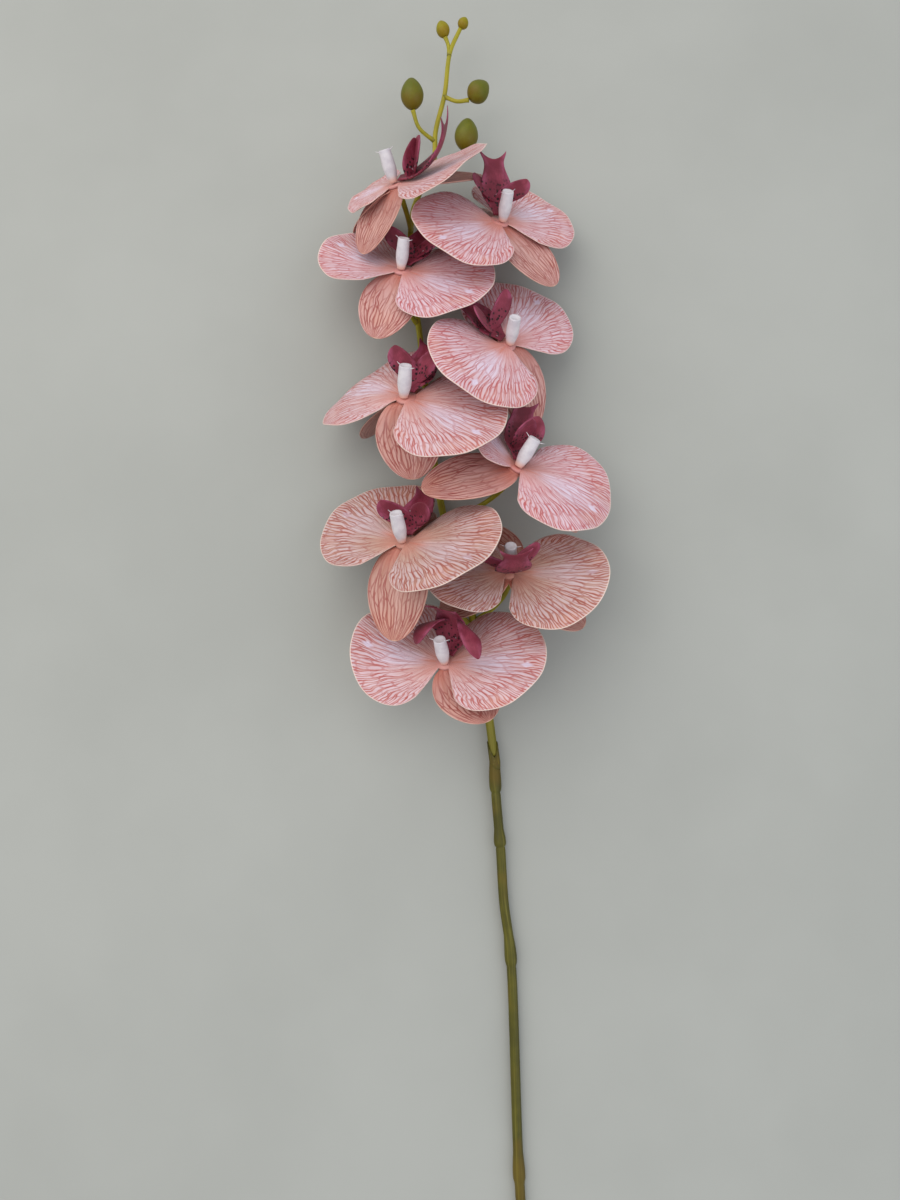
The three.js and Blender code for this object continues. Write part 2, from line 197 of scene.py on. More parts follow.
class Finish:
    """One procedural material with a Principled shader, built node by node."""

    def __init__(self, name: str, ground: Colour, roughness: float, **constants: float) -> None:
        """Starts the material.

        Args:
            name: Name of the material.
            ground: Colour under all coats.
            roughness: Plain roughness.
            constants: Other shader sockets by name with underscores for spaces.
        """
        self.base: Any = linear(ground)
        self.material = bpy.data.materials.new(name)
        self.material.use_nodes = True
        self.nodes = self.material.node_tree.nodes
        self.links = self.material.node_tree.links
        self.shader = self.nodes["Principled BSDF"]
        self.shader.inputs["Roughness"].default_value = roughness
        for key, value in constants.items():
            self.shader.inputs[key.replace("_", " ")].default_value = value

    def node(self, kind: str, settings: dict[str, Any], inputs: dict[Any, Any]) -> bpy.types.Node:
        """Adds a node, its settings first.

        Args:
            kind: Type of the node.
            settings: Attributes of the node.
            inputs: Values or links of its sockets by index or name.

        Returns:
            The node.
        """
        node = self.nodes.new(kind)
        for key, value in settings.items():
            setattr(node, key, value)
        for key, value in inputs.items():
            if isinstance(value, Signal):
                self.links.new(value.socket, node.inputs[key])
            elif isinstance(value, Socket):
                self.links.new(value, node.inputs[key])
            else:
                node.inputs[key].default_value = value
        return node

    def along_across(self) -> tuple[Signal, Signal]:
        """Reads the piece's own map.

        Returns:
            Its two directions, each from 0 to 1.
        """
        uv = self.node("ShaderNodeUVMap", {"uv_map": "sheet"}, {})
        parts = self.node("ShaderNodeSeparateXYZ", {}, {0: uv.outputs[0]})
        return Signal(self, parts.outputs[0]), Signal(self, parts.outputs[1])

    def place(self) -> Socket:
        """Object coordinates in metres."""
        return self.node("ShaderNodeTexCoord", {}, {}).outputs["Object"]

    def point(self, x: Any, y: Any, z: Any = 0.0) -> Socket:
        """Vector made of three signals or numbers."""
        return self.node("ShaderNodeCombineXYZ", {}, {0: x, 1: y, 2: z}).outputs[0]

    def noise(self, vector: Socket, scale: float, detail: float = 3.0) -> Signal:
        """Noise about 0.5, read at a vector with a scale and a number of octaves."""
        inputs = {"Vector": vector, "Scale": scale, "Detail": detail, "Roughness": 0.55}
        return Signal(self, self.node("ShaderNodeTexNoise", {}, inputs).outputs[0])

    def web(self, vector: Socket, width: float) -> Signal:
        """Lines between the cells of a Voronoi net, 1 on a line.

        Args:
            vector: Where the net is read, one cell to a unit.
            width: Width of a line as a share of a cell.

        Returns:
            The line mask.
        """
        settings = {"feature": "DISTANCE_TO_EDGE", "voronoi_dimensions": "2D"}
        net = self.node("ShaderNodeTexVoronoi", settings, {"Vector": vector, "Scale": 1.0})
        return Signal(self, net.outputs["Distance"]).step(width, 0.0)

    def coat(self, share: Any, colour: Colour) -> None:
        """Lays a colour over the base colour.

        Args:
            share: How much of it covers, as a signal or number.
            colour: The colour.
        """
        settings = {"data_type": "RGBA", "clamp_factor": True}
        self.base = self.node("ShaderNodeMix", settings, {0: share, 6: self.base, 7: linear(colour)}).outputs[2]
        self.links.new(self.base, self.shader.inputs["Base Color"])

    def rough(self, signal: Signal) -> None:
        """Feeds the roughness."""
        self.links.new(signal.socket, self.shader.inputs["Roughness"])

    def relief(self, height: Signal, strength: float, depth: float) -> None:
        """Feeds the normal with a height from 0 to 1 and a depth in metres."""
        bump = self.node("ShaderNodeBump", {}, {"Strength": strength, "Distance": depth, "Height": height})
        self.links.new(bump.outputs[0], self.shader.inputs["Normal"])


@dataclass(frozen=True)
class VeinedPrint:
    """Print of a petal or sepal sheet: forking veins over pale streaks, with a blaze and a rim.

    The veins run in the sheet's own map, so they stand close at the heart, and fork twice as they spread to the rim.
    """

    name: str
    pale: Colour
    deep: Colour
    vein: Colour
    heart: Colour
    flush: Colour
    rim: Colour
    blaze: Colour
    blaze_share: float
    cells: tuple[float, float]
    middle: float = 0.56
    strength: float = 0.9
    glow: float = 0.3
    wash: float = 0.0

    def material(self) -> Material:
        """Builds the material.

        Returns:
            The material of this print.
        """
        tree = Finish(self.name, self.pale, 0.5, Sheen_Weight=0.1)
        along, across = tree.along_across()
        place = tree.place()
        count, rows = self.cells
        drift = tree.noise(place, 60.0, 2.0) - 0.5
        sway = tree.noise(place, 330.0, 2.0) - 0.5
        fan = across + drift * 0.025 + sway * 0.0015
        reach = along + sway * 0.04
        streak = tree.noise(tree.point(fan * count * 2.2, reach * 1.8), 1.0, 4.0).step(0.36, 0.64)
        patch = tree.noise(place, 48.0, 2.0).step(0.4, 0.66)
        swell = tree.noise(tree.point(fan * count * 0.6, reach * rows * 0.8, 5.7), 1.0, 1.0) - 0.5
        early = tree.noise(tree.point(fan * count * 0.9, 0.0, 8.3), 1.0, 1.0) - 0.5
        thick = tree.noise(tree.point(fan * count * 1.6, reach * rows * 1.4, 3.1), 1.0, 2.0).step(0.34, 0.6)
        phase = fan * count + swell * 1.1
        split = (reach + early * 0.7).step(0.22, 0.72) * 0.25
        twig = (reach - early * 0.4 + swell * 0.2).step(0.58, 1.02) * 0.125
        apart = ((phase.sum_up("PINGPONG", phase, 0.5) - split).size() - twig).size()
        near = (apart * (reach + 0.4)).step(0.118, 0.0)
        links = tree.web(tree.point(fan * count * 1.5 + swell * 1.1, reach * rows * 1.1), 0.13) * (0.25 + thick * 0.55)
        lines = (near.step(0.15, 0.9) * (0.5 + thick * 0.5)).highest(links)
        tree.coat(streak * 0.7, self.deep)
        tree.coat(patch * along.step(0.5, 0.85) * 0.5, self.flush)
        fold = (across - self.middle).size()
        wedge = fold.step(0.14, 0.02) * along.step(0.1, 0.26) * along.step(0.9, 0.5)
        tree.coat(wedge * (1.0 - streak * 0.5) * self.blaze_share, self.blaze)
        tree.coat(near.step(0.3, 0.0) * along.step(0.3, 0.7) * self.glow, self.blaze)
        drop = (fold * 44.0 + (along - 0.82).size() * 10.0).step(1.0, 0.4)
        tree.coat(along.step(0.4, 0.04) * (0.5 + patch * 0.3), self.heart)
        rays = fold.step(0.05, 0.0) * along.step(0.34, 0.1)
        tree.coat(rays * 0.55, self.heart)
        ink = lines * (0.3 + along.step(0.1, 0.55) * 0.7) * (1.0 - wedge * 0.4) * self.strength
        tree.coat(ink, self.vein)
        tree.coat(drop * self.blaze_share, self.blaze)
        edge = along.step(0.984, 0.997).highest((across - 0.5).size().step(0.493, 0.5))
        tree.coat(edge * 0.8, self.rim)
        if self.wash:
            tree.coat(self.wash, self.deep)
        tree.rough(0.44 + streak * 0.12)
        tree.relief(streak * 0.3 + (1.0 - lines) * 0.7, 0.35, 0.0005)
        return tree.material


@dataclass(frozen=True)
class LipPrint:
    """Burgundy lip with near black dots at its throat, a paler bloom on the outer lobes and fine veins."""

    name: str = "lip_burgundy"
    dark: Colour = (112, 32, 50)
    main: Colour = (140, 52, 73)
    light: Colour = (162, 80, 112)
    dots: Colour = (30, 6, 14)
    speck: Colour = (226, 196, 208)

    def material(self) -> Material:
        """Builds the material.

        Returns:
            The material of the lip.
        """
        tree = Finish(self.name, self.dark, 0.48, Sheen_Weight=0.04, Specular_IOR_Level=0.3)
        along, across = tree.along_across()
        place = tree.place()
        cloud = tree.noise(place, 120.0, 3.0)
        tree.coat(cloud.step(0.38, 0.66), self.main)
        edge = (across - 0.5).size().step(0.2, 0.5) * along.step(0.15, 0.6)
        tree.coat(edge * cloud.step(0.3, 0.6) * 0.6, self.light)
        wander = tree.noise(place, 300.0, 2.0) - 0.5
        veins = tree.web(tree.point(across * 9.0 + wander * 0.8, along * 2.6 + wander * 0.3), 0.16)
        tree.coat(veins * 0.45, self.dark)
        settings = {"feature": "F1", "voronoi_dimensions": "3D"}
        cells = tree.node("ShaderNodeTexVoronoi", settings, {"Vector": place, "Scale": 620.0, "Randomness": 0.9})
        picked = tree.node("ShaderNodeSeparateColor", {}, {0: cells.outputs["Color"]})
        chosen = Signal(tree, picked.outputs[0]).step(0.3, 0.36)
        away = Signal(tree, cells.outputs["Distance"])
        spot = away.step(0.46, 0.34) * chosen
        throat = along.step(0.03, 0.1) * along.step(0.62, 0.42)
        tree.coat(spot * throat, self.dots)
        fleck = Signal(tree, picked.outputs[1]).step(0.97, 0.98) * away.step(0.36, 0.2)
        tree.coat(fleck * throat * 0.7, self.speck)
        tree.rough(0.42 + cloud * 0.14)
        tree.relief(cloud * 0.4 + (1.0 - veins) * 0.6, 0.25, 0.0003)
        return tree.material


@dataclass(frozen=True)
class ColumnPaint:
    """White column with a lilac cast, flushed pink at its foot."""

    name: str = "column_white"
    white: Colour = (216, 212, 215)
    shade: Colour = (192, 186, 193)
    foot: Colour = (226, 170, 150)

    def material(self) -> Material:
        """Builds the material.

        Returns:
            The material of the column.
        """
        tree = Finish(self.name, self.white, 0.42)
        along, across = tree.along_across()
        cloud = tree.noise(tree.place(), 240.0, 3.0)
        grain = tree.noise(tree.point(across * 14.0, along * 3.0), 1.0, 3.0)
        tree.coat(cloud.step(0.35, 0.7) * 0.7, self.shade)
        tree.coat(along.step(0.26, 0.02) * 0.85, self.foot)
        tree.coat(along.step(0.9, 1.0) * 0.35, self.shade)
        tree.rough(0.38 + cloud * 0.16)
        tree.relief(grain * 0.6 + cloud * 0.4, 0.2, 0.0003)
        return tree.material


@dataclass(frozen=True)
class StalkPaint:
    """Green moulded skin with lengthwise ribs and mottling, with painted shade in the grooves between the ribs and
    painted highlights on their ridges.
    """

    name: str
    main: Colour
    # dark is also the painted shade in the rib grooves; light is the painted highlight on the rib ridges.
    dark: Colour
    light: Colour
    foot: Colour
    tinge: Colour
    ribs: float
    mottle: float

    def material(self) -> Material:
        """Builds the material.

        Returns:
            The material of the stalk.
        """
        tree = Finish(self.name, self.main, 0.46, Specular_IOR_Level=0.25)
        along, around = tree.along_across()
        place = tree.place()
        cloud = tree.noise(place, self.mottle, 3.0)
        turn = around * (2 * pi)
        sine, cosine = (turn.sum_up(ratio, turn, 0.0) * self.ribs for ratio in ("SINE", "COSINE"))
        rib = tree.noise(tree.point(sine, cosine, along * 5.0), 1.0, 4.0)
        tree.coat(cloud.step(0.34, 0.66) * 0.55, self.dark)
        # Painted shade: the grooves between the ribs are darkened.
        tree.coat(rib.step(0.5, 0.34) * 0.6, self.dark)
        # Painted highlight: the raised ridges of the ribs are lightened.
        tree.coat(rib.step(0.54, 0.7) * 0.65, self.light)
        tree.coat(tree.noise(place, 34.0, 2.0).step(0.52, 0.68) * 0.45, self.tinge)
        tree.coat(along.step(0.2, 0.02) * 0.75, self.foot)
        tree.rough(0.4 + cloud * 0.16)
        tree.relief(rib, 0.35, 0.0005)
        return tree.material


@dataclass(frozen=True)
class BudPaint:
    """Closed bud: green shoulders, an ochre foot and one warm cheek, with faint seams."""

    name: str
    top: Colour
    foot: Colour
    cheek: Colour

    def material(self) -> Material:
        """Builds the material.

        Returns:
            The material of the bud.
        """
        tree = Finish(self.name, self.top, 0.42, Specular_IOR_Level=0.25)
        along, around = tree.along_across()
        place = tree.place()
        cloud = tree.noise(place, 130.0, 3.0)
        speck = tree.noise(place, 900.0, 2.0)
        tree.coat((along + cloud * 0.5 - 0.25).step(0.62, 0.12), self.foot)
        tree.coat(cloud.step(0.5, 0.72) * 0.6, self.cheek)
        seam = tree.web(tree.point(around * 5.0, along * 0.4 + 0.3), 0.05) * along.step(0.2, 0.7)
        tree.coat(seam * 0.35, self.foot)
        tree.coat(speck.step(0.56, 0.7) * 0.25, self.cheek)
        tree.rough(0.36 + cloud * 0.18)
        tree.relief(cloud * 0.5 + (1.0 - seam) * 0.5, 0.3, 0.0005)
        return tree.material


@dataclass(frozen=True)
class TablePaint:
    """Plain pale table top with a barely visible grain."""

    name: str = "table_pale"
    light: Colour = (168, 170, 164)
    shade: Colour = (162, 164, 158)

    def material(self) -> Material:
        """Builds the material.

        Returns:
            The material of the table.
        """
        tree = Finish(self.name, self.light, 0.85)
        cloud = tree.noise(tree.place(), 6.0, 4.0)
        tree.coat(cloud.step(0.3, 0.7), self.shade)
        tree.relief(tree.noise(tree.place(), 420.0, 2.0), 0.06, 0.0004)
        return tree.material


class Mould:
    """Collects sheets, tubes and turned bodies in one mesh and makes the finished piece."""

    WELD = 1e-4
    LINE_STEP = 0.004
    ASKEW = (0.25, 0.1, 1.0)
    SHEET_SHARE = 0.66
    RIM_SHARE = 0.28
    RIM_ALONG = 0.12
    RIM_ACROSS = 0.05

    def __init__(self) -> None:
        """Starts an empty mesh with its map and its thickness group."""
        self.mesh = bmesh.new()
        self.map = self.mesh.loops.layers.uv.new("sheet")
        self.weights = self.mesh.verts.layers.deform.verify()
        self.at: dict[Vert, tuple[float, float]] = {}

    @staticmethod
    def touched(verts: Sequence[Vert]) -> list[Face]:
        """The faces that hang on some vertices."""
        return list({face for vert in verts for face in vert.link_faces})

    def mark(self, vert: Vert, u: float, w: float, weight: float = 1.0) -> None:
        """Keeps the map place and the thickness share of a vertex."""
        self.at[vert] = (u, w)
        vert[self.weights][0] = weight

    def map_faces(self, verts: Sequence[Vert]) -> None:
        """Writes the kept map places of some vertices to the corners of their faces."""
        for loop in (loop for vert in verts for loop in vert.link_loops):
            loop[self.map].uv = self.at[loop.vert]

    @staticmethod
    def narrow(value: float, cells: int, border: float) -> float:
        """Moves an evenly spaced value so that the first and last cell are narrow.

        Args:
            value: Value from 0 to 1.
            cells: Cells along its line.
            border: Width of the first and last cell, or 0 to leave the value as it is.

        Returns:
            The moved value.
        """
        one = 1 / cells
        if border and one / 2 <= value <= 1 - one / 2:
            return border + (value - one) / (1 - 2 * one) * (1 - 2 * border)
        return round(value) if border else value

    def grid(self, surface: Surface, cells: Cells) -> list[Vert]:
        """Adds a grid on a surface and maps its faces.

        Args:
            surface: Point for along 0 to 1 and across -1 to 1.
            cells: Cells along, cells across, and the width of the outer ring or 0 for even cells.

        Returns:
            The vertices.
        """
        along, across, border = cells
        verts = bmesh.ops.create_grid(self.mesh, x_segments=along, y_segments=across, size=0.5)["verts"]
        for vert in verts:
            u = self.narrow(vert.co.x + 0.5, along, border)
            w = self.narrow(vert.co.y + 0.5, across, border)
            vert.co = surface(u, 2 * w - 1)
            self.mark(vert, u, w)
        self.map_faces(verts)
        return verts

    def weld(self, verts: Sequence[Vert]) -> None:
        """Merges the vertices that lie on one another."""
        bmesh.ops.remove_doubles(self.mesh, verts=verts, dist=self.WELD)

    def outwards(self, faces: Sequence[Face]) -> None:
        """Turns the faces of a closed body outwards."""
        bmesh.ops.recalc_face_normals(self.mesh, faces=[face for face in faces if face.is_valid])

    def sheet(self, surface: Surface, cells: Cells) -> None:
        """Lays an open sheet on a surface, with its face up and a thin rim.

        Args:
            surface: Point for along 0 to 1 and across -1 to 1.
            cells: As for the grid.
        """
        verts = self.grid(surface, cells)
        for vert in verts:
            u, w = self.at[vert]
            inner = min(smooth(1 - u, 0.0, self.RIM_ALONG), smooth(0.5 - abs(w - 0.5), 0.0, self.RIM_ACROSS))
            vert[self.weights][0] = self.SHEET_SHARE * inner
        faces = self.touched(verts)
        for face in faces:
            face.normal_update()
        if sum(face.normal.z * face.calc_area() for face in faces) < 0:
            bmesh.ops.reverse_faces(self.mesh, faces=faces)

    def band(self, surface: Surface, cells: Cells) -> None:
        """Lays a skin on a surface that closes on itself both ways.

        Args:
            surface: Point for along 0 to 1 and around -1 to 1.
            cells: As for the grid.
        """
        verts = self.grid(surface, cells)
        faces = self.touched(verts)
        self.weld(verts)
        self.outwards(faces)

    def disc(self, radius: float, height: float) -> None:
        """Adds a round hub.

        Args:
            radius: Radius of the hub.
            height: Height of its middle.
        """
        lift = Matrix.Translation((0, 0, height))
        ring = bmesh.ops.create_circle(self.mesh, cap_ends=True, segments=28, radius=radius, matrix=lift)["verts"]
        for vert in ring:
            self.mark(vert, 0.02, 0.5)
        self.map_faces(ring)

    def on_tube(self, centre: Line, radius: Girth, along: float, around: float) -> Vector:
        """Point on the skin of a tube.

        Args:
            centre: Point of its line for 0 to 1.
            radius: Radius for a place along the line and a turn from 0 to 1.
            along: Place along the line from 0 to 1.
            around: -1 to 1 round the line.

        Returns:
            The point.
        """
        t = min(1.0, max(0.0, along))
        turn = (around + 1) / 2
        ahead = centre(min(1.0, t + self.LINE_STEP)) - centre(max(0.0, t - self.LINE_STEP))
        side = ahead.cross(Vector(self.ASKEW)).normalized()
        over = side.cross(ahead).normalized()
        angle = 2 * pi * turn
        reach = radius(t, turn % 1.0)
        return centre(t) + side * (reach * cos(angle)) + over * (reach * sin(angle))

    def tube(self, centre: Line, radius: Girth, rings: int, sides: int) -> None:
        """Adds a closed tube round a line.

        Args:
            centre: Point of the line for 0 to 1.
            radius: Radius for a place along the line and a turn from 0 to 1.
            rings: Cells along.
            sides: Cells round.
        """
        verts = self.grid(partial(self.on_tube, centre, radius), (rings, sides, 0.0))
        faces = self.touched(verts)
        self.weld([vert for vert in verts if abs(self.at[vert][1] - 0.5) > 0.5 - 0.5 / sides])
        kept = {vert for face in faces if face.is_valid for vert in face.verts}
        ends = {edge for vert in kept for edge in vert.link_edges if edge.is_boundary}
        caps = bmesh.ops.holes_fill(self.mesh, edges=list(ends), sides=0)["faces"]
        for loop in (loop for face in caps for loop in face.loops):
            loop[self.map].uv = (round(self.at[loop.vert][0]), 0.5)
        self.outwards(faces + caps)

    def turned(self, outline: Sequence[tuple[float, float]], sides: int, place: Matrix) -> None:
        """Adds a body of revolution about its own Z axis.

        Args:
            outline: Radius and height of each point, from the foot to the tip, both ends on the axis.
            sides: Number of steps round.
            place: Where the body goes.
        """
        others = set(self.mesh.verts)
        verts = [self.mesh.verts.new((radius, 0, height)) for radius, height in outline]
        edges = [self.mesh.edges.new(pair) for pair in zip(verts, verts[1:])]
        bmesh.ops.spin(self.mesh, geom=verts + edges, cent=(0, 0, 0), axis=(0, 0, 1), angle=2 * pi,
                       steps=sides, use_merge=True)
        body = [vert for vert in self.mesh.verts if vert not in others]
        self.weld(body)
        body = [vert for vert in body if vert.is_valid]
        low, high = outline[0][1], outline[-1][1]
        for vert in body:
            turn = atan2(vert.co.y, vert.co.x) / (2 * pi) + 0.5
            self.mark(vert, (vert.co.z - low) / (high - low), turn)
        faces = self.touched(body)
        for face in faces:
            turns = [self.at[loop.vert][1] for loop in face.loops]
            for loop, turn in zip(face.loops, turns):
                if max(turns) - min(turns) > 0.5 and turn < 0.5:
                    turn += 1.0
                loop[self.map].uv = (self.at[loop.vert][0], turn)
        self.outwards(faces)
        bmesh.ops.transform(self.mesh, matrix=place, verts=body)

    def piece(self, name: str, place: Matrix, finishes: Sequence[Material], wall: float = 0.0) -> bpy.types.Object:
        """Makes the finished piece at its place on the table.

        Args:
            name: Name of the piece.
            place: Matrix from the mould to the table in metres.
            finishes: Front, back and rim materials, or one for a closed body.
            wall: Thickness in metres for open sheets, or 0 for closed bodies.

        Returns:
            The new object.
        """
        for face in self.mesh.faces:
            face.smooth = True
        bmesh.ops.transform(self.mesh, matrix=place, verts=self.mesh.verts)
        data = bpy.data.meshes.new(name)
        self.mesh.to_mesh(data)
        self.mesh.free()
        for finish in finishes:
            data.materials.append(finish)
        thing = hang(name, data)
        thing.vertex_groups.new(name="thickness")
        if wall:
            shell = thing.modifiers.new("wall", "SOLIDIFY")
            shell.thickness = wall
            shell.offset = 0.0
            shell.vertex_group = "thickness"
            shell.thickness_vertex_group = self.RIM_SHARE
            shell.material_offset = 1
            shell.material_offset_rim = 2
        return thing


@dataclass
class LipPose:
    """How a lip is bent: the middle lobe, the turn of the whole lip, and the two side lobes."""

    bend: Pose
    sway: float
    plus: Pose
    minus: Pose


@dataclass
class Petals:
    """Two wide fan-shaped petals on one round hub."""

    reach: float = 45.0
    root: float = 2.0
    neck: float = 3.0
    lean: float = -10.0
    half_fan: float = 80.0
    spread: float = 88.0
    roundness: float = 0.38
    cup: float = 1.2
    ripple: float = 0.7
    flutter: float = 0.35
    gutter: float = 0.5
    gutter_at: float = 0.12
    lift: float = 0.15

    def point(self, side: int, pose: Pose, wave: float, u: float, v: float) -> Vector:
        """Point of one petal.

        Args:
            side: 1 for the plus side, -1 for the minus side.
            pose: Fold, curl, twist and reach.
            wave: Phase of the small waves along the rim.
            u: 0 at the hub to 1 at the rim.
            v: -1 to 1 across.

        Returns:
            The point.
        """
        fold, curl, twist, share = (*pose, 1.0)[:4]
        angle = self.lean + self.half_fan * v
        fan = cos(radians(90 * (angle - self.lean) / self.spread)) ** self.roundness
        far = u * share * self.reach * fan
        out = far * cos(radians(angle))
        up = far * sin(radians(angle)) + (1 - u) * self.neck * v
        x, rise = bend(out, fold, curl, self.reach)
        turned = radians(twist) * smooth(u, 0, 0.5)
        wavy = self.ripple * u * u * sin(7 * v + side) + self.flutter * u ** 4 * sin(17 * v + wave)
        gutter = -self.gutter * exp(-((v - self.gutter_at) / self.gutter_at) ** 2) * u * (1 - u) * 2
        z = rise + up * sin(turned) - self.cup * (up / 30) ** 2 + wavy + gutter + self.lift
        return Vector((side * (x + self.root), up * cos(turned), z))

    def mould(self, bloom: "Bloom") -> Mould:
        """Moulds the petal pair.

        Args:
            bloom: The bloom it is for.

        Returns:
            The filled mould.
        """
        mould = Mould()
        mould.disc(HUB_RADIUS, 0.0)
        for side, pose, wave in ((1, bloom.plus, 1.7), (-1, bloom.minus, 2.3)):
            mould.sheet(partial(self.point, side, pose, bloom.number * wave), (34, 66, 0.012))
        return mould


@dataclass
class Sepals:
    """Three oval sepals on one round hub."""

    length: float = 43.5
    half_width: float = 15.0
    neck: float = 3.0
    tip: float = 0.35
    trough: float = 1.4
    crease: float = 0.25
    crease_width: float = 0.12
    root: float = 3.6
    drop: float = 0.18

    def point(self, pose: Pose, u: float, v: float) -> Vector:
        """Point of one sepal.

        Args:
            pose: Turn, lift, curl and reach.
            u: 0 at the hub to 1 at the tip.
            v: -1 to 1 across.

        Returns:
            The point.
        """
        turn, lift, curl, share = (*pose, 1.0)[:4]
        oval = self.half_width * max(0.0, sin(pi * u ** 0.95)) ** 0.5
        half = max(oval, self.neck * (1 - 3 * u), self.tip)
        far = u * share * self.length
        flat = min(far, self.root)
        y, z = bend(far - flat, lift, curl, self.length)
        trough = self.trough * v * v * sin(pi * u)
        crease = -self.crease * exp(-(v / self.crease_width) ** 2) * sin(pi * u)
        spin = Matrix.Rotation(radians(turn), 3, "Z")
        return spin @ Vector((v * half, flat + y, z + trough + crease + SEPAL_HUB_Z - self.drop))

    def mould(self, bloom: "Bloom") -> Mould:
        """Moulds the sepal trio.

        Args:
            bloom: The bloom it is for.

        Returns:
            The filled mould.
        """
        mould = Mould()
        mould.disc(HUB_RADIUS, SEPAL_HUB_Z)
        for pose in bloom.sepals:
            mould.sheet(partial(self.point, pose), (36, 20, 0.01))
        return mould


@dataclass
class Lip:
    """Dark lip: a middle lobe with two horns and a paddle-shaped lobe on each side."""

    length: float = 32.0
    root_y: float = -2.6
    root_half: float = 3.0
    throat: float = 5.4
    waist: float = 3.0
    flare: float = 2.0
    notch: float = 0.13
    cup: float = 1.8
    keel: float = 0.5
    keel_width: float = 0.16
    wing_length: float = 17.0
    wing_half: float = 6.2
    wing_tip: float = 0.3
    wing_face: float = 65.0
    wing_root: float = 0.2
    wing_x: float = 1.2
    dish: float = 0.9

    def middle(self, pose: Pose, u: float, v: float) -> Vector:
        """Point of the middle lobe.

        Args:
            pose: Start and turn in degrees, and length.
            u: 0 at the root to 1 at the end.
            v: -1 to 1 across.

        Returns:
            The point.
        """
        start, turn, share = (*pose, 1.0)[:3]
        throat = self.throat * smooth(u, 0, 0.3)
        waist = self.waist * smooth(u, 0.38, 0.76)
        flare = self.flare * smooth(u, 0.78, 1)
        reach = u * share * self.length * (1 - self.notch * u * u * (1 - v * v))
        out, rise = bend(reach, start, turn, self.length)
        cup = self.cup * v * v * sin(pi * u)
        keel = self.keel * exp(-(v / self.keel_width) ** 2) * smooth(u, 0.1, 0.3) * smooth(1 - u, 0.3, 0.7)
        half = self.root_half + throat - waist + flare
        return Vector((v * half, self.root_y - out, LIP_Z + rise + cup + keel))

    def wing(self, side: int, pose: Pose, line: Pose, u: float, v: float) -> Vector:
        """Point of one side lobe.

        Args:
            side: 1 or -1.
            pose: Rise, spread, curl and reach.
            line: Bend of the middle lobe.
            u: 0 at the root to 1 at the tip.
            v: -1 to 1 across.

        Returns:
            The point.
        """
        rise, spread, curl, share = (*pose, 1.0)[:4]
        root_out, root_rise = bend(self.wing_root * self.length, line[0], line[1], self.length)
        ahead, aside = cos(radians(spread)), sin(radians(spread))
        face = radians(self.wing_face)
        oval = self.wing_half * max(0.0, sin(pi * (0.08 + 0.92 * u ** 1.1))) ** 0.6
        half = max(oval, self.wing_tip)
        far = u * share * self.wing_length
        out, up = bend(far * ahead, rise, curl, self.wing_length)
        now = radians(rise + curl * u * share * ahead)
        x = self.wing_x + far * aside + v * half * sin(face)
        across = v * half * cos(face)
        dish = self.dish * v * v * sin(pi * u)
        y = self.root_y - root_out - out + across * sin(now) + dish * sin(now)
        return Vector((side * x, y, LIP_Z + root_rise + up + across * cos(now)))

    def mould(self, bloom: "Bloom") -> Mould:
        """Moulds the lip.

        Args:
            bloom: The bloom it is for.

        Returns:
            The filled mould.
        """
        pose = bloom.lip
        mould = Mould()
        mould.sheet(partial(self.middle, pose.bend), (30, 20, 0.02))
        for side, lobe in ((1, pose.plus), (-1, pose.minus)):
            mould.sheet(partial(self.wing, side, lobe, pose.bend), (22, 16, 0.02))
        spin = Matrix.Rotation(radians(pose.sway), 4, "Z")
        bmesh.ops.transform(mould.mesh, matrix=spin, verts=mould.mesh.verts)
        return mould


@dataclass
class Column:
    """Blunt white column with two thin spikes at its cut tip."""

    length: float = 14.8
    radius: float = 3.1
    y: float = 1.6
    z: float = FRONT_Z + 0.4
    spike: float = 4.7
    spike_base: float = 0.45
    spike_tip: float = 0.08
    spike_tilt: float = 1.15
    spike_sunk: float = 0.9

    def mould(self, bloom: "Bloom") -> Mould:
        """Moulds the column.

        Args:
            bloom: The bloom it is for.

        Returns:
            The filled mould.
        """
        mould = Mould()
        shape = [(0, 0), (0.56, 0), (0.62, 0.02), (0.7, 0.09), (0.8, 0.18), (0.92, 0.29), (1, 0.4), (1.01, 0.52),
                 (0.98, 0.66), (0.94, 0.82), (0.91, 0.95), (0.86, 0.99), (0.7, 0.985), (0.42, 0.955), (0, 0.94)]
        mould.turned([(self.radius * x, self.length * z) for x, z in shape], 28, Matrix.Identity(4))
        half = self.spike / 2
        cone = [(0, -half), (self.spike_base, -half), (self.spike_base * 0.5, 0), (self.spike_tip, half),
                (0, half + 0.05)]
        for side in (1, -1):
            tilt = Matrix.Rotation(side * self.spike_tilt, 4, "Y")
            shift = Matrix.Translation((side * 0.9 * self.radius, 0, self.length - self.spike_sunk))
            mould.turned(cone, 8, shift @ tilt)
        place = Matrix.Translation((0, self.y, self.z)) @ Matrix.Rotation(radians(bloom.lean), 4, "X")
        bmesh.ops.transform(mould.mesh, matrix=place, verts=mould.mesh.verts)
        return mould


